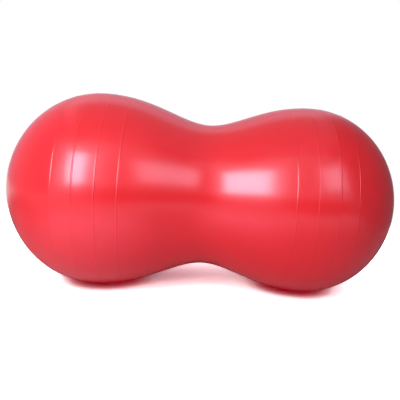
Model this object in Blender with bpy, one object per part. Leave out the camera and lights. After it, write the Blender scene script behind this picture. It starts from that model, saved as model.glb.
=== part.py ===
"""Peanut ball: an air-filled vinyl roll with two round lobes, a waist between them, and its air valve.

The ball lies on the floor along X. Its axis is the line y = 0, z = AXIS_HEIGHT, and the floor is z = 0.
Three pieces: the hollow ribbed skin, the valve seat bonded into the +X end of it, and the plug pressed
into the seat. All lengths are in metres.
"""

import math

import bmesh
import bpy
from mathutils import Matrix, Vector

# The inflated ball's outline, measured from the middle of its waist
LOBE_RADIUS = 0.225
LOBE_OFFSET = 0.2428
END_REACH = 0.2137
WAIST_RADIUS = 0.168
WAIST_FULLNESS = 0.065
SHOULDER_FULLNESS = 0.113
SKIN_WALL = 0.001

# How deep the ball's own weight presses each lobe flat against the floor
CONTACT_DEPTH = 0.002

# Anti-slip ribs moulded round each lobe, centred on its widest section
RIBS_PER_LOBE = 4
RIB_PITCH = 0.0432
RIB_WIDTH = 0.0034
RIB_CREST = 0.0014
RIB_HEIGHT = 0.0008

# Valve seat: a moulded ring with a recess, a bore, and a flange bonded behind the skin
BORE_RADIUS = 0.004
BORE_LENGTH = 0.0099
BORE_LEAD_IN = 0.0005
BOSS_WALL = 0.0032
BOSS_CORNER = 0.0008
SEAT_RIM = 0.002
FLANGE_WIDTH = 0.0075
FLANGE_THICKNESS = 0.0018

# Air plug: a round head, and a ringed shank that reaches through the seat
HEAD_OVERHANG = 0.0032
HEAD_THICKNESS = 0.0018
HEAD_EDGE = 0.0004
RING_COUNT = 3
RING_HEIGHT = 0.0006
RING_STEP = 0.0003
TIP_REACH = 0.0101
TIP_NARROWING = 0.0009

# Clearance left between faces that touch on the real valve
FIT_GAP = 0.0003

# How finely the round pieces are divided
BALL_SEGMENTS = 48
VALVE_SEGMENTS = 32
OUTLINE_STEPS = 11
FLANGE_STEPS = 3
CORNER_STEPS = 4
SEARCH_STEPS = 60
MERGE_DISTANCE = 1e-6

# Places and fits that follow from the sizes
POLE_X = LOBE_OFFSET + END_REACH
AXIS_HEIGHT = LOBE_RADIUS - CONTACT_DEPTH
RING_RADIUS = BORE_RADIUS - FIT_GAP
SHANK_RADIUS = RING_RADIUS - RING_HEIGHT
TIP_RADIUS = SHANK_RADIUS - TIP_NARROWING
HEAD_RADIUS = BORE_RADIUS + HEAD_OVERHANG
RECESS_RADIUS = HEAD_RADIUS + FIT_GAP
RECESS_DEPTH = HEAD_THICKNESS + FIT_GAP
SEAT_RADIUS = RECESS_RADIUS + SEAT_RIM
HOLE_RADIUS = SEAT_RADIUS + FIT_GAP
BOSS_RADIUS = BORE_RADIUS + BOSS_WALL
RING_PITCH = BORE_LENGTH / RING_COUNT
RING_RAMP = 0.5 * RING_PITCH


def clear_scene():
    for item in list(bpy.data.objects):
        bpy.data.objects.remove(item, do_unlink=True)


def make_material(name, colour, roughness):
    material = bpy.data.materials.new(name)
    material.use_nodes = True
    shader = material.node_tree.nodes["Principled BSDF"]
    shader.inputs["Base Color"].default_value = (*colour, 1.0)
    shader.inputs["Roughness"].default_value = roughness
    shader.inputs["Metallic"].default_value = 0.0
    return material


def waist_curve(t):
    """Point and tangent of the curve from the waist (t = 0) to a lobe's widest section (t = 1)."""
    start = Vector((0.0, WAIST_RADIUS))
    leave = Vector((WAIST_FULLNESS, WAIST_RADIUS))
    arrive = Vector((LOBE_OFFSET - SHOULDER_FULLNESS, LOBE_RADIUS))
    end = Vector((LOBE_OFFSET, LOBE_RADIUS))
    u = 1.0 - t
    point = u**3 * start + 3.0 * u * u * t * leave + 3.0 * u * t * t * arrive + t**3 * end
    tangent = u * u * (leave - start) + 2.0 * u * t * (arrive - leave) + t * t * (end - arrive)
    return point, tangent


def end_curve(t):
    """Point and tangent of the elliptical end, from the widest section (t = 0) to the pole (t = 1)."""
    angle = 0.5 * math.pi * t
    point = Vector((LOBE_OFFSET + END_REACH * math.sin(angle), LOBE_RADIUS * math.cos(angle)))
    tangent = Vector((END_REACH * math.cos(angle), -LOBE_RADIUS * math.sin(angle)))
    return point, tangent


def outline(station, lift=0.0):
    """Point (x, radius) of half the ball's outline, raised along its outward normal by lift.

    Stations run from 0 at the waist through 1 at a lobe's widest section to 2 at the pole.
    """
    point, tangent = waist_curve(station) if station < 1.0 else end_curve(station - 1.0)
    normal = Vector((-tangent.y, tangent.x)).normalized()
    return point + lift * normal


def station_where(passed):
    """Station at which passed(point) turns true on the way from the waist to the pole."""
    low, high = 0.0, 2.0
    for _ in range(SEARCH_STEPS):
        middle = 0.5 * (low + high)
        if passed(outline(middle)):
            high = middle
        else:
            low = middle
    return high


def end_point(radius, lift=0.0):
    """Point of the outline on the ball's end, at a radius from its axis."""
    station = station_where(lambda point: point.x > LOBE_OFFSET and point.y < radius)
    return Vector((outline(station, lift).x, radius))


def plain_stations():
    """Stations spread evenly from the waist to the pole."""
    return [step / OUTLINE_STEPS for step in range(2 * OUTLINE_STEPS + 1)]


def rib_marks():
    """For each rib on one half, the station and lift of its foot, crest, crest and foot."""
    ribs = []
    for index in range(RIBS_PER_LOBE):
        middle = LOBE_OFFSET + (index - 0.5 * (RIBS_PER_LOBE - 1)) * RIB_PITCH
        marks = []
        for side in (-1.0, 1.0):
            for width, lift in ((RIB_WIDTH, 0.0), (RIB_CREST, RIB_HEIGHT)):
                edge = middle + 0.5 * side * width
                marks.append((station_where(lambda point: point.x > edge), lift))
        ribs.append(sorted(marks))
    return ribs


def outer_half():
    """Outer outline from the waist to the pole with its ribs, as points (x, radius).

    A plain point that falls on a rib, or within its width beside it, is left out.
    """
    marks = []
    spans = []
    for rib in rib_marks():
        marks += rib
        start, end = rib[0][0], rib[-1][0]
        spans.append((2.0 * start - end, 2.0 * end - start))
    for station in plain_stations():
        if not any(start < station < end for start, end in spans):
            marks.append((station, 0.0))
    return [outline(station, lift) for station, lift in sorted(marks)]


def inner_half():
    """Inner outline from the waist to the pole, one wall inside the outer one and without ribs."""
    return [outline(station, -SKIN_WALL) for station in plain_stations()]


def mirrored(points):
    """The other half of an outline, from the -X pole back to the waist, without the middle point."""
    return [Vector((-point.x, point.y)) for point in reversed(points[1:])]


def stop_at_hole(points, lift, radii):
    """Cut an outline short before the valve hole, and take it on through points at given radii."""
    clear = max(radii) + FLANGE_WIDTH / FLANGE_STEPS
    kept = [point for point in points if point.x < LOBE_OFFSET or point.y > clear]
    return kept + [end_point(radius, lift) for radius in sorted(radii, reverse=True)]


def flange_radii():
    """Radii at which the seat's flange, and the skin over it, follow the curve of the ball's end."""
    return [SEAT_RADIUS + FLANGE_WIDTH * step / FLANGE_STEPS for step in range(FLANGE_STEPS + 1)]


def rounded_corner(centre, radius, start_angle, end_angle):
    """Points on an arc in the (x, radius) plane, angles in degrees."""
    points = []
    for step in range(CORNER_STEPS + 1):
        angle = math.radians(start_angle + (end_angle - start_angle) * step / CORNER_STEPS)
        points.append(centre + radius * Vector((math.cos(angle), math.sin(angle))))
    return points


def revolve(points, segments, closed):
    """Spin an outline of (x, radius) points once round the X axis into a closed bmesh."""
    mesh = bmesh.new()
    verts = [mesh.verts.new((point.x, 0.0, point.y)) for point in points]
    edges = [mesh.edges.new(pair) for pair in zip(verts, verts[1:])]
    if closed:
        edges.append(mesh.edges.new((verts[-1], verts[0])))
    bmesh.ops.spin(
        mesh,
        geom=verts + edges,
        cent=(0.0, 0.0, 0.0),
        axis=(1.0, 0.0, 0.0),
        angle=2.0 * math.pi,
        steps=segments,
        use_merge=True,
    )
    bmesh.ops.remove_doubles(mesh, verts=mesh.verts, dist=MERGE_DISTANCE)
    bmesh.ops.recalc_face_normals(mesh, faces=mesh.faces)
    return mesh


def press_flat(mesh, level, outward):
    """Flatten the outward or inward facing skin below a level, as the floor does under each lobe."""
    chosen = []
    for face in mesh.faces:
        centre = face.calc_center_median()
        faces_out = centre.y * face.normal.y + centre.z * face.normal.z > 0.0
        if faces_out == outward and centre.z < 0.0:
            chosen.append(face)
    edges = {edge for face in chosen for edge in face.edges}
    verts = {vert for face in chosen for vert in face.verts}
    cut = bmesh.ops.bisect_plane(
        mesh,
        geom=chosen + list(edges) + list(verts),
        dist=MERGE_DISTANCE,
        plane_co=(0.0, 0.0, level),
        plane_no=(0.0, 0.0, 1.0),
    )
    for item in cut["geom"]:
        if isinstance(item, bmesh.types.BMVert) and item.co.z < level:
            item.co.z = level


def place(mesh, name, material, x, smooth_angle):
    """Turn a bmesh built round the ball's axis into an object whose origin is on that axis at x."""
    mesh.transform(Matrix.Translation((-x, 0.0, 0.0)))
    bmesh.ops.triangulate(mesh, faces=mesh.faces)
    data = bpy.data.meshes.new(name)
    mesh.to_mesh(data)
    mesh.free()
    data.materials.append(material)
    data.shade_smooth()
    data.set_sharp_from_angle(angle=math.radians(smooth_angle))
    item = bpy.data.objects.new(name, data)
    item.location = (x, 0.0, AXIS_HEIGHT)
    bpy.context.collection.objects.link(item)


def build_ball_skin():
    """The hollow skin: outer outline with ribs, wall of the valve hole, and the plain inside."""
    outer = mirrored(outer_half()) + stop_at_hole(outer_half(), 0.0, [HOLE_RADIUS])
    over_flange = flange_radii()[1:] + [HOLE_RADIUS]
    inner = mirrored(inner_half()) + stop_at_hole(inner_half(), -SKIN_WALL, over_flange)
    mesh = revolve(outer + list(reversed(inner)), BALL_SEGMENTS, closed=False)
    floor = -AXIS_HEIGHT
    press_flat(mesh, floor, outward=True)
    press_flat(mesh, floor + SKIN_WALL, outward=False)
    vinyl = make_material("red_vinyl", (0.78, 0.035, 0.055), 0.32)
    place(mesh, "ball_skin", vinyl, 0.0, 40.0)


def build_valve_seat():
    """The seat ring: bore, recess for the plug's head, rim, flange behind the skin, and boss."""
    mouth = end_point(HOLE_RADIUS).x
    recess_floor = mouth - RECESS_DEPTH
    inner_end = recess_floor - BORE_LENGTH
    points = [
        Vector((inner_end, BORE_RADIUS)),
        Vector((recess_floor - BORE_LEAD_IN, BORE_RADIUS)),
        Vector((recess_floor, BORE_RADIUS + BORE_LEAD_IN)),
        Vector((recess_floor, RECESS_RADIUS)),
        Vector((mouth, RECESS_RADIUS)),
        Vector((mouth, SEAT_RADIUS)),
    ]
    points += [end_point(radius, -SKIN_WALL - FIT_GAP) for radius in flange_radii()]
    flange_back = points[-1].x - FLANGE_THICKNESS
    points.append(Vector((flange_back, SEAT_RADIUS + FLANGE_WIDTH)))
    points.append(Vector((flange_back, BOSS_RADIUS)))
    corner = Vector((inner_end + BOSS_CORNER, BOSS_RADIUS - BOSS_CORNER))
    points += rounded_corner(corner, BOSS_CORNER, 90.0, 180.0)
    vinyl = make_material("seat_vinyl", (0.70, 0.035, 0.05), 0.45)
    place(revolve(points, VALVE_SEGMENTS, closed=True), "valve_seat", vinyl, mouth, 30.0)


def build_air_plug():
    """The plug: rounded tip, shank with barbed rings, and a head that carries on the ball's curve."""
    mouth = end_point(HOLE_RADIUS).x
    neck = mouth - HEAD_THICKNESS
    tip = neck - BORE_LENGTH - TIP_REACH
    points = [Vector((tip, 0.0))]
    points += rounded_corner(Vector((tip + TIP_RADIUS, 0.0)), TIP_RADIUS, 180.0, 90.0)[1:]
    for index in range(RING_COUNT):
        crest = neck - RING_PITCH * (RING_COUNT - index)
        points.append(Vector((crest - RING_RAMP, SHANK_RADIUS)))
        points.append(Vector((crest, RING_RADIUS)))
        points.append(Vector((crest + RING_STEP, SHANK_RADIUS)))
    points.append(Vector((neck, SHANK_RADIUS)))
    points.append(Vector((neck, HEAD_RADIUS)))
    face_radius = HEAD_RADIUS - HEAD_EDGE
    points.append(Vector((end_point(face_radius).x - HEAD_EDGE, HEAD_RADIUS)))
    for step in range(CORNER_STEPS):
        points.append(end_point(face_radius * (1.0 - step / CORNER_STEPS)))
    points.append(Vector((POLE_X, 0.0)))
    white = make_material("white_polythene", (0.86, 0.86, 0.84), 0.40)
    place(revolve(points, VALVE_SEGMENTS, closed=False), "air_plug", white, mouth, 30.0)


def build():
    clear_scene()
    build_ball_skin()
    build_valve_seat()
    build_air_plug()


build()
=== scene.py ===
"""Dresses the packed peanut ball: its finely shaped skin, valve seat and air plug, their vinyl and
polythene, and a pale studio. The studio has a key softbox and a fill softbox, each in nested parts,
a strip above the camera and a panel overhead. Only mirrored rays see flags, curtains and a pool of
light on the floor. Lengths are in metres, and the angles of lamps, screens and camera in degrees.
The ball's axis lies along X, and the floor is z = 0.
"""

import math

import bpy
import numpy as np
from bpy.props import FloatProperty, FloatVectorProperty, IntProperty, PointerProperty
from mathutils import Matrix, Vector


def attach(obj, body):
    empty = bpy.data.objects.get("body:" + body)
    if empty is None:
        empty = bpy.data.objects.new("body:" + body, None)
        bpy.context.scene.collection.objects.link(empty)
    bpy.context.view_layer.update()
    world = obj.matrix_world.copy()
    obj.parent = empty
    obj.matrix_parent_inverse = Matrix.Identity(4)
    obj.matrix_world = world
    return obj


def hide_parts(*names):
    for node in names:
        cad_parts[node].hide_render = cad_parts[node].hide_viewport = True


bl_info = {
    "name": "Peanut Ball",
    "version": (1, 0, 0),
    "blender": (4, 5, 0),
    "location": "View3D > Sidebar > Peanut Ball",
    "description": "Builds an air-filled peanut ball with its valve, and a studio to show it in",
    "category": "Object",
}

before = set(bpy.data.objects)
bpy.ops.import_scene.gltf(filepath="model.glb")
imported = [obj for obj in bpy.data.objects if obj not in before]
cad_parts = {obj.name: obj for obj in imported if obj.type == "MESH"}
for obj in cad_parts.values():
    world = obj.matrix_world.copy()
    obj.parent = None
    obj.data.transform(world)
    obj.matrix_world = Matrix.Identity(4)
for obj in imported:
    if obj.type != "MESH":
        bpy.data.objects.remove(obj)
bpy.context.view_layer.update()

FULL_TURN = 2.0 * math.pi
WHITE = (1.0, 1.0, 1.0)


# Property groups


def length(name, description, default, low, high):
    """A length in metres: its default, and its low and high limits."""
    limits = {"min": low, "max": high, "subtype": "DISTANCE", "unit": "LENGTH"}
    return FloatProperty(name=name, description=description, default=default, **limits)


def tint(name, description, default):
    """A colour: its default in linear red, green and blue."""
    limits = {"size": 3, "min": 0.0, "max": 1.0, "subtype": "COLOR"}
    return FloatVectorProperty(name=name, description=description, default=default, **limits)


def amount(name, description, default, high=100.0, low=0.0):
    """A plain number: its default, and its high and low limits."""
    return FloatProperty(name=name, description=description, default=default, min=low, max=high)


class PeanutBallSizes(bpy.types.PropertyGroup):
    """Sizes of the inflated ball and its ribs."""

    lobe_radius: length("Lobe radius", "Radius of each lobe at its widest section", 0.225, 0.05, 0.6)
    lobe_offset: length(
        "Lobe offset", "Distance from the middle of the waist to a lobe's widest section",
        0.2428, 0.05, 0.8,
    )
    end_reach: length(
        "End reach", "Distance from a lobe's widest section to the end of the ball", 0.2137, 0.05, 0.6
    )
    waist_radius: length("Waist radius", "Radius of the narrowest ring between the lobes", 0.168, 0.03, 0.6)
    waist_fullness: length(
        "Waist fullness", "How far the waist runs straight before it rises to a lobe", 0.065, 0.0, 0.2
    )
    shoulder_fullness: length(
        "Shoulder fullness", "How far a lobe's crown reaches back towards the waist", 0.113, 0.0, 0.3
    )
    wall: length("Wall", "Thickness of the vinyl skin", 0.001, 0.0003, 0.005)
    contact_depth: length(
        "Contact depth", "How deep the ball's own weight presses each lobe flat against the floor",
        0.002, 0.0, 0.02,
    )
    contact_blend: length(
        "Contact blend", "How softly the flat under a lobe runs out into the round skin",
        0.0006, 0.00001, 0.01,
    )
    ribs_per_lobe: IntProperty(
        name="Ribs per lobe", description="Number of anti-slip ribs moulded round each lobe",
        default=4, min=0, max=12,
    )
    rib_pitch: length("Rib pitch", "Distance from one rib to the next along the ball", 0.0432, 0.005, 0.1)
    rib_width: length("Rib width", "Width of a rib at its foot", 0.0034, 0.0005, 0.02)
    rib_crest: length("Rib crest", "Width of a rib's flat crest", 0.0010, 0.0, 0.01)
    rib_height: length("Rib height", "How far a rib stands proud of the skin", 0.00036, 0.0, 0.005)
    flange_print: length(
        "Flange print", "How far the seat's flange shows through the skin as a faint raised ring",
        0.0002, 0.0, 0.001,
    )


class PeanutBallValveSizes(bpy.types.PropertyGroup):
    """Sizes of the valve seat and the air plug."""

    bore_radius: length("Bore radius", "Radius of the seat's bore", 0.004, 0.001, 0.02)
    bore_length: length("Bore length", "Length of the seat's bore below the recess", 0.0099, 0.002, 0.05)
    fit_gap: length(
        "Fit gap", "Clearance left between faces that touch on the real valve", 0.0003, 0.0, 0.002
    )
    boss_wall: length("Boss wall", "Wall of the boss around the bore", 0.0032, 0.0005, 0.01)
    seat_rim: length(
        "Seat rim", "Width of the seat's ring that shows around the plug's head", 0.002, 0.0005, 0.01
    )
    flange_width: length(
        "Flange width", "How far the seat's flange reaches out behind the skin", 0.0075, 0.001, 0.03
    )
    flange_thickness: length("Flange thickness", "Thickness of the seat's flange", 0.0018, 0.0005, 0.01)
    head_overhang: length(
        "Head overhang", "How far the plug's head reaches out past the bore", 0.0032, 0.0005, 0.01
    )
    head_thickness: length("Head thickness", "Thickness of the plug's head", 0.0018, 0.0005, 0.01)
    ring_count: IntProperty(
        name="Ring count", description="Number of sealing rings on the plug's shank",
        default=3, min=1, max=6,
    )
    ring_height: length(
        "Ring height", "How far a sealing ring stands proud of the shank", 0.0006, 0.0001, 0.002
    )
    tip_reach: length("Tip reach", "How far the plug's tip reaches past the last ring", 0.0101, 0.001, 0.05)
    tip_narrowing: length(
        "Tip narrowing", "How much narrower the tip is than the shank", 0.0009, 0.0, 0.003
    )


class PeanutBallColours(bpy.types.PropertyGroup):
    """Colours of the ball's vinyl, the plug's polythene and the floor."""

    skin: tint("Skin vinyl", "Colour of the ball's skin", (0.65, 0.016, 0.021))
    seat: tint("Seat vinyl", "Colour of the valve seat", (0.66, 0.010, 0.016))
    plug: tint("Plug polythene", "Colour of the air plug", (0.84, 0.84, 0.81))
    floor: tint("Floor", "Colour of the studio floor", (0.78, 0.78, 0.78))


class PeanutBallStudio(bpy.types.PropertyGroup):
    """Radiances of the studio's lights, where 1 is a white surface in full light."""

    key_edge: amount("Key edge", "Radiance of the key softbox's dim outer part, at the upper left", 0.5)
    key: amount("Key softbox", "Further radiance of the key softbox", 1.25)
    key_core: amount("Key core", "Further radiance of the key softbox's bright middle", 12.6)
    fill: amount("Fill softbox", "Radiance of the softbox at the upper right", 1.8)
    fill_core: amount("Fill core", "Further radiance of the fill softbox's bright middle", 1.8)
    front: amount("Front strip", "Radiance of the strip high above the camera", 0.45)
    top: amount("Top panel", "Radiance of the panel overhead", 0.3)
    flag: amount("Flags", "Radiance of the dark screens in front, at the right and overhead", 0.15, 1.0)
    # The curtains glow in a pink tint that paints a pink sheen into the ball's rims.
    curtain: amount(
        "Curtains", "Radiance of the pale grey curtains behind the ball and at its left", 0.62, 1.0
    )
    room: amount("Room", "Radiance that the white room adds to matt light", 0.15, 10.0)
    floor_gain: amount(
        "Floor gain", "How much paler the floor looks than it lights the ball", 2.5, 10.0, low=1.0
    )
    # Painted light: a glow painted on the floor for the camera, weaker near the ball, which paints its
    # shade there.
    floor_lift: amount(
        "Floor lift", "Radiance that the white room adds to the open floor, as the camera sees it",
        3.2, 10.0,
    )


# Outlines

OUTLINE_STEPS = 8001
CORNER_HOLD = 0.25


def bezier(points, t):
    """A cubic curve: u^3 P0 + 3 u^2 t P1 + 3 u t^2 P2 + t^3 P3, where u = 1 - t."""
    u = 1.0 - t
    weights = np.stack([u**3, 3.0 * u * u * t, 3.0 * u * t * t, t**3], axis=1)
    return weights @ np.array(points)


def bezier_slope(points, t):
    """The same curve's direction: u^2 (P1 - P0) + 2 u t (P2 - P1) + t^2 (P3 - P2)."""
    u = 1.0 - t
    weights = np.stack([u * u, 2.0 * u * t, t * t], axis=1)
    return weights @ np.diff(np.array(points), axis=0)


class Outline:
    """Half of the ball's outline: points (x, radius) by station.

    Station 0 is the waist, 1 the widest section and 2 the pole. From the waist to the widest
    section it is a cubic curve that leaves and arrives level. From there to the pole it is a
    quarter of an ellipse: x = offset + reach sin(a), radius = lobe radius cos(a).
    """

    def __init__(self, sizes):
        self.sizes = sizes
        self.controls = [
            (0.0, sizes.waist_radius),
            (sizes.waist_fullness, sizes.waist_radius),
            (sizes.lobe_offset - sizes.shoulder_fullness, sizes.lobe_radius),
            (sizes.lobe_offset, sizes.lobe_radius),
        ]
        self.table = np.linspace(0.0, 2.0, OUTLINE_STEPS)
        self.table_points = self.base(self.table)[0]

    def base(self, station):
        """Points and outward unit normals at the stations."""
        offset, reach, lobe = self.sizes.lobe_offset, self.sizes.end_reach, self.sizes.lobe_radius
        t = np.clip(station, 0.0, 1.0)
        angle = 0.5 * math.pi * np.clip(station - 1.0, 0.0, 1.0)
        end = np.stack([offset + reach * np.sin(angle), lobe * np.cos(angle)], axis=1)
        end_slope = np.stack([reach * np.cos(angle), -lobe * np.sin(angle)], axis=1)
        inner = (station < 1.0)[:, None]
        point = np.where(inner, bezier(self.controls, t), end)
        slope = np.where(inner, bezier_slope(self.controls, t), end_slope)
        normal = np.stack([-slope[:, 1], slope[:, 0]], axis=1)
        return point, normal / np.linalg.norm(normal, axis=1, keepdims=True)

    def at(self, station, lift=0.0):
        """Points of the outline, moved along its outward normal by lift."""
        point, normal = self.base(station)
        return point + normal * np.broadcast_to(lift, station.shape)[:, None]

    def station_of_x(self, x):
        """The station whose point lies at x."""
        return np.interp(x, self.table_points[:, 0], self.table)

    def station_of_radius(self, radius):
        """The station on the end of the ball whose point lies at a radius from the axis."""
        end = self.table >= 1.0
        return np.interp(-radius, -self.table_points[end, 1], self.table[end])

    def end_point(self, radius, lift=0.0):
        """Points (x, radius) on the end of the ball at given radii, x moved in with the lift."""
        radius = np.atleast_1d(np.asarray(radius, float))
        return np.stack([self.at(self.station_of_radius(radius), lift)[:, 0], radius], axis=1)


def eased(value):
    """0 below 0, 1 above 1, and half a cosine wave between them."""
    return 0.5 - 0.5 * np.cos(math.pi * np.clip(value, 0.0, 1.0))


def rounded(points, radii, steps=5):
    """A chain of points with its corners rounded.

    Each inner corner P gives way to the curve (1-u)^2 A + 2u(1-u) P + u^2 B, where A and B lie on the
    two sides at the corner's radius from P. Two points that hold the sides straight stand before and
    after it. A radius of 0 leaves the corner as it is.
    """
    points = np.asarray(points, float)
    u = np.linspace(0.0, 1.0, steps)[:, None]
    chain = [points[:1]]
    for before, corner, after, radius in zip(points, points[1:], points[2:], radii[1:]):
        if radius <= 0.0:
            chain.append(corner[None])
            continue
        to_before = (before - corner) / np.linalg.norm(before - corner)
        to_after = (after - corner) / np.linalg.norm(after - corner)
        start, end = corner + radius * to_before, corner + radius * to_after
        chain.append((start + CORNER_HOLD * radius * to_before)[None])
        chain.append((1.0 - u) ** 2 * start + 2.0 * u * (1.0 - u) * corner + u**2 * end)
        chain.append((end + CORNER_HOLD * radius * to_after)[None])
    chain.append(points[-1:])
    return np.concatenate(chain)


# Meshes


def turned_rings(rings, segments):
    """Turns (x, radius) points round the axis: at angle a, to (x, radius sin(a), radius cos(a)).

    Returns the vertices, a grid of their indices with a row for each ring, the same grid one step
    on round the axis, and the quads between neighbouring rings.
    """
    angle = np.arange(segments) * (FULL_TURN / segments)
    x = np.repeat(rings[:, 0], segments)
    y = (rings[:, 1:2] * np.sin(angle)).ravel()
    z = (rings[:, 1:2] * np.cos(angle)).ravel()
    grid = np.arange(len(rings) * segments).reshape(len(rings), segments)
    ahead = np.roll(grid, -1, axis=1)
    quads = np.stack([grid[:-1], ahead[:-1], ahead[1:], grid[1:]], axis=2).reshape(-1, 4)
    return np.stack([x, y, z], axis=1), grid, ahead, quads


def turned_closed(profile, segments):
    """Turns a closed profile, whose last ring joins its first."""
    vertices, grid, ahead, quads = turned_rings(profile, segments)
    join = np.stack([grid[-1], ahead[-1], ahead[0], grid[0]], axis=1)
    return vertices, np.concatenate([quads, join]), np.zeros((0, 3), int)


def turned_open(profile, segments):
    """Turns a profile that starts and ends on the axis, with a fan of triangles at each end."""
    vertices, grid, ahead, quads = turned_rings(profile[1:-1], segments)
    first, last = len(vertices), len(vertices) + 1
    ends = np.array([[profile[0, 0], 0.0, 0.0], [profile[-1, 0], 0.0, 0.0]])
    fan_start = np.stack([np.full(segments, first), ahead[0], grid[0]], axis=1)
    fan_end = np.stack([np.full(segments, last), grid[-1], ahead[-1]], axis=1)
    return np.concatenate([vertices, ends]), quads, np.concatenate([fan_start, fan_end])


def half_turned(profile, segments, first):
    """Turns a profile whose first (or last) point lies on the axis, with a fan of triangles there."""
    vertices, grid, ahead, quads = turned_rings(profile[1:] if first else profile[:-1], segments)
    if first:
        tip = np.array([[profile[0, 0], 0.0, 0.0]])
        fan = np.stack([np.zeros(segments, int), ahead[0] + 1, grid[0] + 1], axis=1)
        return np.concatenate([tip, vertices]), quads + 1, fan
    tip = np.array([[profile[-1, 0], 0.0, 0.0]])
    fan = np.stack([np.full(segments, len(vertices)), grid[-1], ahead[-1]], axis=1)
    return np.concatenate([vertices, tip]), quads, fan


def signed_volume(vertices, quads, triangles):
    """Volume inside the faces, positive when they point outwards: the sum of a . (b x c) / 6."""
    faces = np.concatenate([triangles, quads[:, :3], quads[:, [0, 2, 3]]])
    a, b, c = vertices[faces[:, 0]], vertices[faces[:, 1]], vertices[faces[:, 2]]
    return float(np.einsum("ij,ij->i", a, np.cross(b, c)).sum() / 6.0)


def new_object(name, data):
    """A new object in the scene for a mesh, a lamp or a camera."""
    item = bpy.data.objects.new(name, data)
    bpy.context.scene.collection.objects.link(item)
    return item


def add_values(mesh, name, numbers):
    """Gives a mesh one number for each vertex."""
    attribute = mesh.attributes.new(name, "FLOAT", "POINT")
    attribute.data.foreach_set("value", np.asarray(numbers, np.float32))


def make_piece(name, vertices, quads, triangles):
    """Makes a smooth mesh object at the origin, with its faces pointing out."""
    if signed_volume(vertices, quads, triangles) < 0.0:
        quads, triangles = quads[:, ::-1], triangles[:, ::-1]
    mesh = bpy.data.meshes.new(name)
    faces = quads.tolist() + triangles.tolist()
    mesh.from_pydata(vertices.tolist(), [], faces, shade_flat=False)
    if mesh.validate():
        raise RuntimeError(f"the mesh of {name} had faults")
    return new_object(name, mesh)


def dress(piece, body, node, material):
    """Lets a finished piece ride on its body in place of its CAD node, and gives it its material."""
    piece.data.materials.append(material)
    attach(piece, body)
    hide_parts(node)


# Skin

SKIN_SEGMENTS = 256
PLAIN_RINGS = 84
RIB_RINGS = 11
RIB_SPREAD = 0.6
INNER_SEGMENT_STEP = 2
INNER_RINGS = 44
HOLE_EDGE = 0.0003
WALL_RETURN = 0.001
LINER_END = 0.002
PRINT_INSET = 0.0006
PRINT_EASE = 0.0016
FLATTEST_RIB = 1e-9

# Rings near the hole: their places in flange widths beyond it, and how many there are.
PLAIN_RINGS_END = 4.0
NEAR_RINGS = (3.8, 1.4, 6)
FLANGE_RINGS = (1.2, 22)
INNER_RINGS_END = 2.0
INNER_HOLE_RINGS = (1.8, 6)


def rib_middles(sizes):
    """Distances of one lobe's ribs from the middle of the waist."""
    half_count = 0.5 * (sizes.ribs_per_lobe - 1)
    numbers = range(sizes.ribs_per_lobe)
    return [sizes.lobe_offset + (number - half_count) * sizes.rib_pitch for number in numbers]


def rib_lift(x, sizes):
    """How far the ribs raise the skin at x: full height over the crest, and eased down to the foot."""
    lift = np.zeros_like(x)
    flank = 0.5 * (sizes.rib_width - sizes.rib_crest)
    for middle in rib_middles(sizes):
        beyond = np.abs(np.abs(x) - middle) - 0.5 * sizes.rib_crest
        lift = np.maximum(lift, sizes.rib_height * (1.0 - eased(beyond / flank)))
    return lift


def seat_radius(valve):
    """Outer radius of the seat's rim: the plug's head, the gap around it and the rim's width."""
    return valve.bore_radius + valve.head_overhang + valve.fit_gap + valve.seat_rim


def flange_lift(radius, sizes, valve):
    """How far the flange behind the skin shows through: full over the flange, eased out around it."""
    edge = seat_radius(valve) + valve.flange_width
    return sizes.flange_print * (1.0 - eased((radius - edge + PRINT_INSET) / PRINT_EASE))


def half_stations(outline):
    """Stations from the waist to the pole: evenly spread, and close together across each rib."""
    sizes = outline.sizes
    spread = np.linspace(-RIB_SPREAD, RIB_SPREAD, RIB_RINGS) * sizes.rib_width
    stations = [np.linspace(0.0, 2.0, PLAIN_RINGS + 1)]
    for middle in rib_middles(sizes):
        on_rib = outline.station_of_x(middle + spread)
        margin = on_rib[1] - on_rib[0]
        stations = [s[(s < on_rib[0] - margin) | (s > on_rib[-1] + margin)] for s in stations]
        stations.append(on_rib)
    return np.sort(np.concatenate(stations))


def pressed(z, level, blend):
    """Heights pressed flat: level + (d + sqrt(d^2 + blend^2)) / 2, where d = z - level."""
    d = z - level
    return level + 0.5 * (d + np.sqrt(d * d + blend * blend))


def both_lobes(stations, points, end_radius, around_end):
    """Half an outline mirrored to the -X pole, the half itself as far as a radius, and its end."""
    kept = (stations < 1.0) | (points[:, 1] > end_radius)
    return np.concatenate([points[::-1][:-1] * (-1.0, 1.0), points[kept], around_end])


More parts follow.
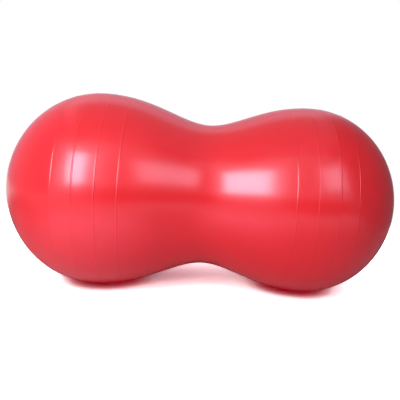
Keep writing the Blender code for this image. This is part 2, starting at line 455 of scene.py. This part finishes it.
def skin_profile(outline, valve):
    """The skin's closed-up outline: outside from the -X pole to the hole, its wall, and the inside."""
    sizes, width = outline.sizes, valve.flange_width
    hole = seat_radius(valve) + valve.fit_gap
    stations = half_stations(outline)
    points = outline.at(stations, rib_lift(outline.base(stations)[0][:, 0], sizes))
    far, near, near_count = NEAR_RINGS
    start, flange_count = FLANGE_RINGS
    near_radii = np.linspace(hole + far * width, hole + near * width, near_count)
    flange_radii = np.linspace(hole + start * width, hole + 2.0 * HOLE_EDGE, flange_count)
    radii = np.concatenate([near_radii, flange_radii])
    around = outline.end_point(radii)
    around[:, 0] += flange_lift(radii, sizes, valve)
    corner_out = outline.end_point(hole)[0] + (sizes.flange_print, 0.0)
    corner_in = outline.end_point(hole, -sizes.wall)[0]
    edge = rounded(
        [around[-1], corner_out, corner_in, corner_in + (0.0, WALL_RETURN)],
        [0.0, HOLE_EDGE, 0.5 * HOLE_EDGE, 0.0],
    )[1:-1]
    inner_stations = np.linspace(0.0, 2.0, INNER_RINGS + 1)
    inner = outline.at(inner_stations, -sizes.wall)
    start, count = INNER_HOLE_RINGS
    behind_radii = np.linspace(hole + start * width, hole + LINER_END, count)
    behind = outline.end_point(behind_radii, -sizes.wall)
    outside = both_lobes(stations, points, hole + PLAIN_RINGS_END * width, around)
    inside = both_lobes(inner_stations, inner, hole + INNER_RINGS_END * width, behind)
    return outside, edge, inside[::-1]


def skin_mesh(sizes, valve):
    """Vertices and faces of the skin, turned round its axis, lifted onto the floor and pressed flat.

    Outside and wall are turned in fine segments, the inside in coarser ones, and a band of triangles
    joins the two where the wall ends. The last value is 1 on the crests of the ribs and 0 off them.
    """
    outside, edge, inside = skin_profile(Outline(sizes), valve)
    coarse_segments = SKIN_SEGMENTS // INNER_SEGMENT_STEP
    outer_profile = np.concatenate([outside, edge])
    shell, shell_faces, shell_fan = half_turned(outer_profile, SKIN_SEGMENTS, first=True)
    liner, liner_faces, liner_fan = half_turned(inside, coarse_segments, first=False)
    base = len(shell)
    last_ring = np.arange(base - SKIN_SEGMENTS, base).reshape(-1, INNER_SEGMENT_STEP)
    near, far = last_ring[:, 0], last_ring[:, 1]
    next_ring = base + np.arange(coarse_segments)
    near_ahead, next_ahead = np.roll(near, -1), np.roll(next_ring, -1)
    corners = [(near, far, next_ring), (far, next_ahead, next_ring), (far, near_ahead, next_ahead)]
    joint = np.concatenate([np.stack(corner, axis=1) for corner in corners])
    vertices = np.concatenate([shell, liner])
    quads = np.concatenate([shell_faces, liner_faces + base])
    triangles = np.concatenate([shell_fan, joint, liner_fan + base])
    vertices[:, 2] += sizes.lobe_radius - sizes.contact_depth
    outer = np.arange(len(vertices)) < base
    vertices[outer, 2] = pressed(vertices[outer, 2], 0.0, sizes.contact_blend)
    vertices[~outer, 2] = pressed(vertices[~outer, 2], sizes.wall, sizes.contact_blend)
    share = rib_lift(vertices[:, 0], sizes) / max(sizes.rib_height, FLATTEST_RIB)
    return vertices, quads, triangles, np.where(outer, share, 0.0)


class PEANUTBALL_OT_skin(bpy.types.Operator):
    """Build the ball's hollow vinyl skin with its ribs, valve hole and flats on the floor"""

    bl_idname = "peanut_ball.skin"
    bl_label = "Ball skin"

    def execute(self, context):
        scene = context.scene
        sizes, valve = scene.peanut_ball_sizes, scene.peanut_ball_valve
        vertices, quads, triangles, crest = skin_mesh(sizes, valve)
        skin = make_piece("skin", vertices, quads, triangles)
        add_values(skin.data, "rib_crest", crest)
        dress(skin, "ball", "ball_skin", skin_vinyl(scene.peanut_ball_colours))
        return {"FINISHED"}


# Valve

VALVE_SEGMENTS = 160
FLANGE_POINTS = 9

# Corner radii of the seat. Front: the bore's inner end and mouth, the recess at its floor and its
# mouth, the rim, and the root of the flange. Back: the flange's two edges, and the boss's two ends.
SEAT_FRONT_RADII = [0.0005, 0.0005, 0.0003, 0.0003, 0.0004, 0.0003]
SEAT_BACK_RADII = [0.0004, 0.0006, 0.0009, 0.0008]

# The plug: points round its nose and over its head, and the forms of its rings, neck and head.
NOSE_POINTS = 9
HEAD_POINTS = 60
RING_DROP = 0.0003
RING_RADII = [0.0003, 0.00012, 0.00012]
NECK_RADIUS = 0.0003
HEAD_RADIUS = 0.00025
HEAD_EDGE = 0.0004

# The head's marks: depth, radius, half the flat width and the width of the slope.
DIMPLE = (0.00018, 0.0, 0.0005, 0.0007)
GROOVE = (0.00012, 0.0052, 0.0001, 0.0003)


def seat_mouth(outline, valve):
    """Where the seat's rim ends on the axis: level with the skin at the edge of its hole."""
    return outline.end_point(seat_radius(valve) + valve.fit_gap)[0, 0]


def seat_profile(outline, valve):
    """The seat's closed outline: bore, recess for the head, rim, flange behind the skin, and boss."""
    recess = valve.bore_radius + valve.head_overhang + valve.fit_gap
    seat = seat_radius(valve)
    mouth = seat_mouth(outline, valve)
    recess_floor = mouth - valve.head_thickness - valve.fit_gap
    inner_end = recess_floor - valve.bore_length
    boss = valve.bore_radius + valve.boss_wall
    flange_radii = np.linspace(seat, seat + valve.flange_width, FLANGE_POINTS)
    flange = outline.end_point(flange_radii, -outline.sizes.wall - valve.fit_gap)
    flange_back = flange[-1, 0] - valve.flange_thickness
    corners = [
        (inner_end, valve.bore_radius),
        (recess_floor, valve.bore_radius),
        (recess_floor, recess),
        (mouth, recess),
        (mouth, seat),
        *flange,
        (flange_back, seat + valve.flange_width),
        (flange_back, boss),
        (inner_end, boss),
    ]
    radii = SEAT_FRONT_RADII + [0.0] * (len(flange) - 2) + SEAT_BACK_RADII
    ring = np.array([corners[-1], *corners, corners[0]])
    return rounded(ring, [0.0, *radii, 0.0])[1:-1]


def ring_mark(radius, mark):
    """Depth of a ring-shaped mark at a radius: full on its flat, and eased out over its slope."""
    depth, middle, flat, slope = mark
    return depth * (1.0 - eased((np.abs(radius - middle) - flat) / slope))


def plug_profile(outline, valve):
    """The plug's outline from its tip to the middle of its head, which carries on the ball's curve.

    Each sealing ring rises in a long slope and drops in a short one. The head has a shallow ring
    groove and the small dimple that moulding leaves in its middle.
    """
    ring_radius = valve.bore_radius - valve.fit_gap
    shank = ring_radius - valve.ring_height
    tip_radius = shank - valve.tip_narrowing
    head = valve.bore_radius + valve.head_overhang
    neck = seat_mouth(outline, valve) - valve.head_thickness
    tip = neck - valve.bore_length - valve.tip_reach
    pitch = valve.bore_length / valve.ring_count
    angle = np.linspace(0.0, 0.5 * math.pi, NOSE_POINTS)
    nose_x = tip + tip_radius * (1.0 - np.cos(angle))
    nose = np.stack([nose_x, tip_radius * np.sin(angle)], axis=1)
    corners, radii = [nose[-1]], [0.0]
    for index in range(valve.ring_count):
        crest = neck - pitch * (valve.ring_count - index)
        corners += [(crest - 0.5 * pitch, shank), (crest, ring_radius), (crest + RING_DROP, shank)]
        radii += RING_RADII
    face = head - HEAD_EDGE
    face_x = outline.end_point(face)[0, 0] - HEAD_EDGE
    corners += [(neck, shank), (neck, head), (face_x, head)]
    radii += [NECK_RADIUS, HEAD_RADIUS, 0.0]
    radius = np.linspace(face, 0.0, HEAD_POINTS)
    top = outline.end_point(radius)
    top[:, 0] -= ring_mark(radius, DIMPLE) + ring_mark(radius, GROOVE)
    return np.concatenate([nose[:-1], rounded(corners, radii), top])


def valve_mesh(scene, profile_of, turn):
    """Vertices and faces of a piece of the valve, at the height of the ball's axis."""
    sizes = scene.peanut_ball_sizes
    profile = profile_of(Outline(sizes), scene.peanut_ball_valve)
    vertices, quads, triangles = turn(profile, VALVE_SEGMENTS)
    vertices[:, 2] += sizes.lobe_radius - sizes.contact_depth
    return vertices, quads, triangles


class PEANUTBALL_OT_valve_seat(bpy.types.Operator):
    """Build the moulded valve seat that is bonded into the end of the skin"""

    bl_idname = "peanut_ball.valve_seat"
    bl_label = "Valve seat"

    def execute(self, context):
        scene = context.scene
        seat = make_piece("seat", *valve_mesh(scene, seat_profile, turned_closed))
        dress(seat, "ball", "valve_seat", seat_vinyl(scene.peanut_ball_colours))
        return {"FINISHED"}


class PEANUTBALL_OT_air_plug(bpy.types.Operator):
    """Build the push-in air plug with its head, sealing rings and tip"""

    bl_idname = "peanut_ball.air_plug"
    bl_label = "Air plug"

    def execute(self, context):
        scene = context.scene
        plug = make_piece("plug", *valve_mesh(scene, plug_profile, turned_open))
        dress(plug, "plug", "air_plug", plug_plastic(scene.peanut_ball_colours))
        return {"FINISHED"}


# Shader nodes

# Places of the colour sockets on a Mix node.
MIX_SHARE, MIX_FIRST, MIX_SECOND, MIX_RESULT = 0, 6, 7, 2


def fill_socket(tree, socket, value):
    """Links an input to another node's output, or sets its value."""
    if isinstance(value, bpy.types.NodeSocket):
        tree.links.new(value, socket)
    else:
        socket.default_value = value


def add_node(tree, kind, settings=None, **inputs):
    """Adds a node, sets its settings, and fills its inputs by name, with underscores for spaces."""
    node = tree.nodes.new(kind)
    for key, value in (settings or {}).items():
        setattr(node, key, value)
    for key, value in inputs.items():
        fill_socket(tree, node.inputs[key.replace("_", " ")], value)
    return node


def ordered_node(tree, kind, values, settings=None):
    """Adds a node and fills its inputs in their order."""
    node = add_node(tree, kind, settings)
    for socket, value in zip(node.inputs, values):
        fill_socket(tree, socket, value)
    return node


def maths(tree, operation, *values):
    """The result of a sum on numbers or sockets."""
    return ordered_node(tree, "ShaderNodeMath", values, {"operation": operation}).outputs[0]


def vector_maths(tree, operation, result, *values):
    """The named result of a sum on vectors."""
    node = ordered_node(tree, "ShaderNodeVectorMath", values, {"operation": operation})
    return node.outputs[result]


def ramp(tree, value, start, end, first=0.0, last=1.0, kind="LINEAR"):
    """Runs from first, where the value is start, to last, where it is end."""
    values, settings = (value, start, end, first, last), {"interpolation_type": kind}
    return ordered_node(tree, "ShaderNodeMapRange", values, settings).outputs["Result"]


def mixed_colour(tree, share, first, second, blend="MIX"):
    """The first colour with a share of the second mixed into it."""
    node = add_node(tree, "ShaderNodeMix", {"data_type": "RGBA", "blend_type": blend})
    for place, value in ((MIX_SHARE, share), (MIX_FIRST, first), (MIX_SECOND, second)):
        fill_socket(tree, node.inputs[place], value)
    return node.outputs[MIX_RESULT]


def opaque(colour):
    """A colour as a socket takes it."""
    return (*colour, 1.0)


def diffuse(tree, colour):
    """A matt surface."""
    return add_node(tree, "ShaderNodeBsdfDiffuse", Color=opaque(colour)).outputs[0]


def emission(tree, colour, strength):
    """A surface that gives out light."""
    return add_node(tree, "ShaderNodeEmission", Color=colour, Strength=strength).outputs[0]


def added(tree, *shaders):
    """Two shaders added up."""
    return ordered_node(tree, "ShaderNodeAddShader", shaders).outputs[0]


def mixed(tree, share, first, second):
    """The first shader with a share of the second mixed into it."""
    return ordered_node(tree, "ShaderNodeMixShader", (share, first, second)).outputs[0]


def any_ray(tree, *kinds):
    """1 on a ray of any of the kinds, such as Is Camera Ray, and 0 on the others."""
    path = tree.nodes.new("ShaderNodeLightPath")
    found = path.outputs[kinds[0]]
    for kind in kinds[1:]:
        found = maths(tree, "MAXIMUM", found, path.outputs[kind])
    return found


def bare_material(name):
    """A new material, its tree and its empty surface output."""
    material = bpy.data.materials.new(name)
    material.use_nodes = True
    tree = material.node_tree
    tree.nodes.clear()
    return material, tree, tree.nodes.new("ShaderNodeOutputMaterial").inputs["Surface"]


# Shared patterns of the vinyl and the polythene

# Where each noise starts to show and where it shows in full.
CLOUD_EDGE = (0.3, 0.7)
HAIR_EDGE = (0.58, 0.74)
PATCH_EDGE = (0.48, 0.68)
HAIR_TURN = (0.3, 0.5, 0.9)
HAIR_STRETCH = (1.0, 14.0, 3.0)


def noise(tree, vector, scale, detail, roughness=0.5, distortion=0.0):
    """Cloudy noise from 0 to 1."""
    node = add_node(tree, "ShaderNodeTexNoise", Vector=vector, Scale=scale, Detail=detail)
    node.inputs["Roughness"].default_value = roughness
    node.inputs["Distortion"].default_value = distortion
    return node.outputs["Fac"]


def new_group(name, inputs, output):
    """A shader node group that takes a Vector and named numbers, and gives out one number."""
    tree = bpy.data.node_groups.new(name, "ShaderNodeTree")
    tree.interface.new_socket("Vector", in_out="INPUT", socket_type="NodeSocketVector")
    for label in inputs:
        tree.interface.new_socket(label, in_out="INPUT", socket_type="NodeSocketFloat")
    tree.interface.new_socket(output, in_out="OUTPUT", socket_type="NodeSocketFloat")
    given = tree.nodes.new("NodeGroupInput").outputs
    return tree, given, tree.nodes.new("NodeGroupOutput").inputs[output]


def cloudy_tone(name):
    """Slow, faint clouds in the pigment: Tone runs from 1 - Amount to 1."""
    tree, given, result = new_group(name, ("Scale", "Amount"), "Tone")
    clouds = noise(tree, given["Vector"], given["Scale"], detail=4.0, roughness=0.55)
    depth = maths(tree, "MULTIPLY", ramp(tree, clouds, *CLOUD_EDGE), given["Amount"])
    tree.links.new(maths(tree, "SUBTRACT", 1.0, depth), result)
    return tree


def moulded_surface(name):
    """Height of a moulded surface in metres: a soft orange peel, and a fine grain from the mould."""
    inputs = ("Peel Scale", "Peel Height", "Grain Scale", "Grain Height")
    tree, given, result = new_group(name, inputs, "Height")
    vector, scale = given["Vector"], given["Grain Scale"]
    peel = noise(tree, vector, given["Peel Scale"], detail=1.0, roughness=0.4)
    peel_height = maths(tree, "MULTIPLY", peel, given["Peel Height"])
    smooth = {"feature": "SMOOTH_F1"}
    cells = add_node(tree, "ShaderNodeTexVoronoi", smooth, Vector=vector, Scale=scale, Smoothness=0.6)
    grain = cells.outputs["Distance"]
    height = maths(tree, "MULTIPLY_ADD", grain, given["Grain Height"], peel_height)
    tree.links.new(height, result)
    return tree


def handling_marks(name):
    """Faint scuffs and hairlines from use: Mask is 0 on clean vinyl and up to Amount in a mark."""
    tree, given, result = new_group(name, ("Scale", "Amount"), "Mask")
    vector, scale = given["Vector"], given["Scale"]
    turn = {"Rotation": HAIR_TURN, "Scale": HAIR_STRETCH}
    along = add_node(tree, "ShaderNodeMapping", Vector=vector, **turn).outputs["Vector"]
    hairs = noise(tree, along, scale, detail=6.0, roughness=0.7, distortion=0.8)
    patches = noise(tree, vector, scale, detail=2.0)
    both = maths(tree, "MULTIPLY", ramp(tree, hairs, *HAIR_EDGE), ramp(tree, patches, *PATCH_EDGE))
    tree.links.new(maths(tree, "MULTIPLY", both, given["Amount"]), result)
    return tree


def place_group(tree, build, *values):
    """The result of a shared group on these values. It is built the first time it is asked for."""
    name = build.__name__
    group = bpy.data.node_groups.get(name) or build(name)
    return ordered_node(tree, "ShaderNodeGroup", values, {"node_tree": group}).outputs[0]


# Materials

VINYL_IOR = 1.54
POLYTHENE_IOR = 1.51
RUBBED_RIB = (0.65, 0.019, 0.025)
RUBBED_SHARE = 0.15


def moulded_plastic(name, colour, roughness, tone, surface, marks, dulling, finish, crest=None):
    """A moulded plastic: clouded pigment, orange peel and grain, and scuffs that dull the gloss.

    tone is the clouds' (scale, amount), surface the peel's (scale, height) and the grain's, and
    marks the scuffs' (scale, amount). finish holds more of the shader's inputs. crest is (attribute,
    pale colour, amount) for ribs rubbed on their tops.
    """
    material = bpy.data.materials.new(name)
    material.use_nodes = True
    tree = material.node_tree
    shader = tree.nodes["Principled BSDF"]
    place = add_node(tree, "ShaderNodeTexCoord").outputs["Object"]
    clouds = place_group(tree, cloudy_tone, place, *tone)
    scuffs = place_group(tree, handling_marks, place, *marks)
    height = place_group(tree, moulded_surface, place, *surface)
    grey = add_node(tree, "ShaderNodeCombineColor", Red=clouds, Green=clouds, Blue=clouds)
    base = mixed_colour(tree, 1.0, opaque(colour), grey.outputs["Color"], "MULTIPLY")
    if crest:
        attribute, pale, amount = crest
        tops = add_node(tree, "ShaderNodeAttribute", {"attribute_name": attribute}).outputs["Fac"]
        rubbed = maths(tree, "MULTIPLY", maths(tree, "MULTIPLY", tops, clouds), amount)
        base = mixed_colour(tree, rubbed, base, opaque(pale))
    rough = maths(tree, "MULTIPLY_ADD", scuffs, dulling, roughness)
    bump = add_node(tree, "ShaderNodeBump", Strength=1.0, Distance=1.0, Height=height)
    made = {"Base Color": base, "Roughness": rough, "Normal": bump.outputs["Normal"]}
    for key, value in {**made, **finish}.items():
        fill_socket(tree, shader.inputs[key], value)
    return material


def skin_vinyl(colours):
    """The ball's red burst-resistant vinyl: glossy, evenly dyed, with its ribs rubbed a little pale."""
    return moulded_plastic(
        "skin_vinyl",
        colours.skin,
        roughness=0.22,
        tone=(7.0, 0.05),
        surface=(110.0, 0.000012, 1100.0, 0.000003),
        marks=(5.0, 0.35),
        dulling=0.06,
        finish={"IOR": VINYL_IOR, "Specular Tint": (0.92, 0.86, 1.10, 1.0)},
        crest=("rib_crest", RUBBED_RIB, RUBBED_SHARE),
    )


def seat_vinyl(colours):
    """The seat's firmer vinyl: a shade deeper and more matt than the skin."""
    return moulded_plastic(
        "seat_vinyl",
        colours.seat,
        roughness=0.42,
        tone=(60.0, 0.08),
        surface=(900.0, 0.000006, 5000.0, 0.000002),
        marks=(60.0, 0.6),
        dulling=0.12,
        finish={"IOR": VINYL_IOR},
    )


def plug_plastic(colours):
    """The plug's white polythene: waxy, faintly clouded, and a little translucent."""
    return moulded_plastic(
        "plug_plastic",
        colours.plug,
        roughness=0.36,
        tone=(90.0, 0.05),
        surface=(700.0, 0.000006, 6000.0, 0.0000015),
        marks=(80.0, 0.5),
        dulling=0.14,
        finish={
            "IOR": POLYTHENE_IOR,
            "Subsurface Weight": 0.15,
            "Subsurface Radius": (0.002, 0.0018, 0.0016),
            "Subsurface Scale": 1.0,
        },
    )


# Studio

BALL_MIDDLE = (0.0, 0.0, 0.223)
CAMERA_PLACE = (-0.0361, -1.0392, 0.3690)
CAMERA_TARGET = (0.0414, 0.0, 0.2314)
CAMERA_ROLL = 3.936
CAMERA_LENS = 38.164
CAMERA_SHIFT = (-0.0552, -0.0210)
CAMERA_REACH = (0.01, 100.0)
SENSOR_WIDTH = 36.0

# The floor is white beyond a distance, and its lit part reaches further along X.
FLOOR_SPAN = 12.0
FLOOR_LIT = 0.42
FLOOR_WHITE = 1.05
FLOOR_NARROWING = (0.35, 1.0, 1.0)

# What mirrored rays see of the floor: a darker, reddened share of its colour, which is painted shade, and a
# painted pool of light in front.
MIRRORED_FLOOR_SHADE = (0.80, 0.48, 0.56)
POOL_PLACE = (-0.36, -0.62, 0.0)
POOL_INNER = 0.12
POOL_OUTER = 0.60
POOL_LIGHT = 1.2

# The open space above the floor, the gap under the ball, and the light painted in each: painted room light
# that thins to painted shade near the ball and reddens as painted bounce light, and a dark red painted
# contact shadow in the gap.
OPEN_RAYS = 8
FLOOR_OPEN = 0.30
# Red of the painted bounce light on the floor where the ball closes the space in.
PAINTED_BOUNCE_RED = (0.6, 0.17, 0.25)
GAP_DEPTH = 0.022
GAP_CLOSED = 0.12
GAP_OPEN = 0.9
# Colour of the dark red painted contact shadow in the gap under the ball.
PAINTED_CONTACT_SHADOW = (0.31, 0.001, 0.012)

# Pink tint of the screens and the floor's pool: it paints a pink sheen into the ball's mirrored rims.
PINK_SHEEN_TINT = (1.30, 0.92, 1.12)
LOOKING_RAYS = ("Is Camera Ray", "Is Glossy Ray", "Is Transmission Ray")
BLIND_RAYS = ("camera", "diffuse", "transmission", "volume_scatter", "shadow")

# Name of each softbox, its azimuth, elevation and distance, its width and height, and its roll.
SOFTBOXES = (
    ("key_edge", -32.0, 27.0, 1.48, 1.60, 1.50, 9.0),
    ("key", -33.0, 26.0, 1.46, 1.05, 0.95, 9.0),
    ("key_core", -31.0, 24.0, 1.75, 0.56, 0.90, 9.0),
    ("fill", 32.0, 29.0, 1.80, 0.80, 0.85, -2.0),
    ("fill_core", 32.0, 28.0, 1.78, 0.50, 0.60, -2.0),
    ("front", 0.0, 62.0, 1.90, 1.60, 0.60, 0.0),
    ("top", 180.0, 76.0, 2.00, 3.20, 2.60, 0.0),
)


def direction(azimuth, elevation):
    """Unit vector to an azimuth from the camera's side, right positive, and an elevation."""
    a, e = math.radians(azimuth), math.radians(elevation)
    return Vector((math.sin(a) * math.cos(e), -math.cos(a) * math.cos(e), math.sin(e)))


def turned_to(place, target, roll=0.0):
    """Matrix of a lamp or camera at a place that looks at a target, its right side raised by roll."""
    ahead = (Vector(target) - Vector(place)).normalized()
    right = ahead.cross(Vector((0.0, 0.0, 1.0))).normalized()
    up = right.cross(ahead)
    angle = math.radians(roll)
    tilted_right = math.cos(angle) * right + math.sin(angle) * up
    tilted_up = math.cos(angle) * up - math.sin(angle) * right
    rotation = Matrix((tilted_right, tilted_up, -ahead)).transposed().to_4x4()
    return Matrix.Translation(place) @ rotation


def softbox(name, azimuth, elevation, distance, width, height, roll, radiance):
    """A rectangular lamp that faces the ball. Its power is pi x area x radiance."""
    lamp = bpy.data.lights.new(name, "AREA")
    lamp.shape = "RECTANGLE"
    lamp.size, lamp.size_y = width, height
    lamp.energy = math.pi * width * height * radiance
    item = new_object(name, lamp)
    place = Vector(BALL_MIDDLE) + distance * direction(azimuth, elevation)
    item.matrix_world = turned_to(place, BALL_MIDDLE, roll)
    item.visible_camera = False


def upright(azimuth, distance, width, height):
    """Corners of an upright rectangle that stands on the floor and faces the ball."""
    foot = distance * direction(azimuth, 0.0)
    half = 0.5 * width * direction(azimuth + 90.0, 0.0)
    top = Vector((0.0, 0.0, height))
    return [foot - half, foot + half, foot + half + top, foot - half + top]


def level_square(height, span):
    """Corners of a level square over the middle of the floor."""
    half = 0.5 * span
    corners = ((-half, -half), (half, -half), (half, half), (-half, half))
    return [(x, y, height) for x, y in corners]


def screen(name, corners, greys):
    """A screen that only mirrored rays see: it stands before the white room in the gloss.

    The corners go round from one foot to the other and back over the top. The greys are radiances
    in even steps from the first foot to the second, and it fades evenly between them.
    """
    material, tree, surface = bare_material(name)
    grey = add_node(tree, "ShaderNodeAttribute", {"attribute_name": "grey"}).outputs["Fac"]
    tree.links.new(emission(tree, opaque(PINK_SHEEN_TINT), grey), surface)
    first, second, third, fourth = np.array([tuple(corner) for corner in corners])
    count = len(greys)
    share = np.linspace(0.0, 1.0, count)[:, None]
    foot, head = first + share * (second - first), fourth + share * (third - fourth)
    faces = [(i, i + 1, count + i + 1, count + i) for i in range(count - 1)]
    mesh = bpy.data.meshes.new(name)
    mesh.from_pydata(np.concatenate([foot, head]).tolist(), [], faces)
    add_values(mesh, "grey", np.tile(greys, 2))
    mesh.materials.append(material)
    item = new_object(name, mesh)
    for kind in BLIND_RAYS:
        setattr(item, f"visible_{kind}", False)


def hang_screens(flag, curtain):
    """Hangs dark flags and grey curtains of these radiances round the ball and over it. All glow in
    a pink tint, which paints a pink sheen into the ball's mirrored rims.
    """
    front = upright(azimuth=0.0, distance=1.60, width=4.00, height=0.48)
    right = upright(azimuth=100.0, distance=1.10, width=2.60, height=2.20)
    back = upright(azimuth=180.0, distance=2.50, width=5.20, height=4.40)
    left = upright(azimuth=-95.0, distance=2.50, width=4.80, height=4.40)
    screen("flag_front", front, [1.0, 0.9, flag, flag, flag])
    screen("flag_right", right, [0.75 * curtain, flag, flag, flag, 0.5 * curtain, 1.2 * curtain])
    screen("flag_top", level_square(height=2.80, span=3.20), [flag, flag])
    screen("curtain_back", back, [curtain, curtain])
    screen("curtain_left", left, [0.9 * curtain, 0.6 * curtain])


def open_share(tree, reach):
    """The share of directions above the floor that are open as far as a reach."""
    settings = {"samples": OPEN_RAYS}
    return add_node(tree, "ShaderNodeAmbientOcclusion", settings, Distance=reach).outputs["AO"]


def mirrored_floor(tree, colour, place):
    """The floor as mirrored rays see it: darker and redder, as painted shade, with a painted pool
    of light in front of the ball.
    """
    dimmed = diffuse(tree, [share * c for share, c in zip(MIRRORED_FLOOR_SHADE, colour)])
    from_pool = vector_maths(tree, "DISTANCE", "Value", place, POOL_PLACE)
    pool = ramp(tree, from_pool, POOL_INNER, POOL_OUTER, POOL_LIGHT, 0.0, "SMOOTHSTEP")
    return added(tree, dimmed, emission(tree, opaque(PINK_SHEEN_TINT), pool))


def seen_floor(tree, colour, gain, lift):
    """The floor as the camera sees it: its colour times the gain, and painted room light over it.

    That painted light is lift x the open share of the space above, so it paints shade where the ball
    closes the space in, and it is redder the smaller that share is, as painted red bounce light.
    """
    space = open_share(tree, FLOOR_OPEN)
    painted_room_light = maths(tree, "MULTIPLY", space, lift)
    painted_bounce_colour = mixed_colour(tree, space, opaque(PAINTED_BOUNCE_RED), opaque(WHITE))
    bright = diffuse(tree, [gain * c for c in colour])
    return added(tree, bright, emission(tree, painted_bounce_colour, painted_room_light))


def floor_material(colour, gain, lift):
    """Pale matt floor that looks paler than it lights the ball, so that only the shadow shows.

    Matt light comes from its plain colour, and mirrored and camera rays have their own looks. In
    the gap under the ball a dark red glow is painted in: a painted contact shadow, reddened as if by
    light bounced from the vinyl. Away from the ball, and further off along X, the floor runs out to
    white for every ray that looks at it, mirrored ones too.
    """
    material, tree, surface = bare_material("studio_floor")
    place = add_node(tree, "ShaderNodeTexCoord").outputs["Object"]
    looking = any_ray(tree, *LOOKING_RAYS)
    mirror_ray = any_ray(tree, "Is Glossy Ray")
    seeing_ray = any_ray(tree, "Is Camera Ray", "Is Transmission Ray")
    unseen = mixed(tree, mirror_ray, diffuse(tree, colour), mirrored_floor(tree, colour, place))
    open_floor = mixed(tree, seeing_ray, unseen, seen_floor(tree, colour, gain, lift))
    # Painted contact shadow: a dark red glow is mixed in where the gap under the ball closes up.
    closed = ramp(tree, open_share(tree, GAP_DEPTH), GAP_CLOSED, GAP_OPEN, 1.0, 0.0)
    painted_shadow_share = maths(tree, "MULTIPLY", closed, looking)
    near = mixed(tree, painted_shadow_share, open_floor, emission(tree, opaque(PAINTED_CONTACT_SHADOW), 1.0))
    narrowed = vector_maths(tree, "MULTIPLY", "Vector", place, FLOOR_NARROWING)
    distance = vector_maths(tree, "LENGTH", "Value", narrowed)
    away = ramp(tree, distance, FLOOR_LIT, FLOOR_WHITE, kind="SMOOTHSTEP")
    whitened = maths(tree, "MULTIPLY", away, looking)
    whole = mixed(tree, whitened, near, emission(tree, opaque(WHITE), 1.0))
    tree.links.new(whole, surface)
    return material


def white_room(radiance):
    """The world: white wherever it is looked at, and dimmer where it only adds to matt light."""
    world = bpy.data.worlds.new("white_room")
    world.use_nodes = True
    tree = world.node_tree
    tree.nodes.clear()
    out = tree.nodes.new("ShaderNodeOutputWorld")
    room, white = [
        add_node(tree, "ShaderNodeBackground", Color=opaque(WHITE), Strength=strength).outputs[0]
        for strength in (radiance, 1.0)
    ]
    tree.links.new(mixed(tree, any_ray(tree, *LOOKING_RAYS), room, white), out.inputs["Surface"])
    bpy.context.scene.world = world


def lay_floor(material):
    """A wide square floor at z = 0."""
    mesh = bpy.data.meshes.new("floor")
    mesh.from_pydata(level_square(height=0.0, span=FLOOR_SPAN), [], [(0, 1, 2, 3)])
    mesh.materials.append(material)
    floor = new_object("floor", mesh)


def set_camera(scene):
    """The camera, in front of the ball and a little above it."""
    camera = bpy.data.cameras.new("camera")
    camera.sensor_width = SENSOR_WIDTH
    camera.lens = CAMERA_LENS
    camera.shift_x, camera.shift_y = CAMERA_SHIFT
    camera.clip_start, camera.clip_end = CAMERA_REACH
    item = new_object("camera", camera)
    item.matrix_world = turned_to(CAMERA_PLACE, CAMERA_TARGET, CAMERA_ROLL)
    scene.camera = item


class PEANUTBALL_OT_stage(bpy.types.Operator):
    """Build the pale floor, the softboxes, flags and curtains, the white room and the camera"""

    bl_idname = "peanut_ball.stage"
    bl_label = "Studio"

    def execute(self, context):
        scene = context.scene
        studio = scene.peanut_ball_studio
        colour = scene.peanut_ball_colours.floor
        lay_floor(floor_material(colour, studio.floor_gain, studio.floor_lift))
        for name, *placing in SOFTBOXES:
            softbox(name, *placing, getattr(studio, name))
        hang_screens(studio.flag, studio.curtain)
        white_room(studio.room)
        set_camera(scene)
        scene.view_settings.view_transform = "Standard"
        return {"FINISHED"}


class PEANUTBALL_PT_panel(bpy.types.Panel):
    """Sizes, colours and pieces of the peanut ball"""

    bl_label = "Peanut Ball"
    bl_idname = "PEANUTBALL_PT_panel"
    bl_space_type = "VIEW_3D"
    bl_region_type = "UI"
    bl_category = "Peanut Ball"

    def draw(self, context):
        for key, group in SCENE_GROUPS.items():
            box = self.layout.box()
            box.label(text=group.__doc__)
            for name in group.__annotations__:
                box.prop(getattr(context.scene, key), name)
        for operator in OPERATORS:
            self.layout.operator(operator.bl_idname)


SCENE_GROUPS = {
    "peanut_ball_sizes": PeanutBallSizes,
    "peanut_ball_valve": PeanutBallValveSizes,
    "peanut_ball_colours": PeanutBallColours,
    "peanut_ball_studio": PeanutBallStudio,
}
OPERATORS = (
    PEANUTBALL_OT_skin,
    PEANUTBALL_OT_valve_seat,
    PEANUTBALL_OT_air_plug,
    PEANUTBALL_OT_stage,
)
CLASSES = (*SCENE_GROUPS.values(), *OPERATORS, PEANUTBALL_PT_panel)


def register():
    """Registers the classes and gives every scene its groups."""
    for item in CLASSES:
        bpy.utils.register_class(item)
    for key, group in SCENE_GROUPS.items():
        setattr(bpy.types.Scene, key, PointerProperty(type=group))


def unregister():
    """Takes the groups and the classes away again."""
    for key in SCENE_GROUPS:
        delattr(bpy.types.Scene, key)
    for item in reversed(CLASSES):
        bpy.utils.unregister_class(item)


def main():
    register()
    bpy.ops.peanut_ball.skin()
    bpy.ops.peanut_ball.valve_seat()
    bpy.ops.peanut_ball.air_plug()
    bpy.ops.peanut_ball.stage()
    bpy.context.view_layer.update()


if __name__ == "__main__":
    main()
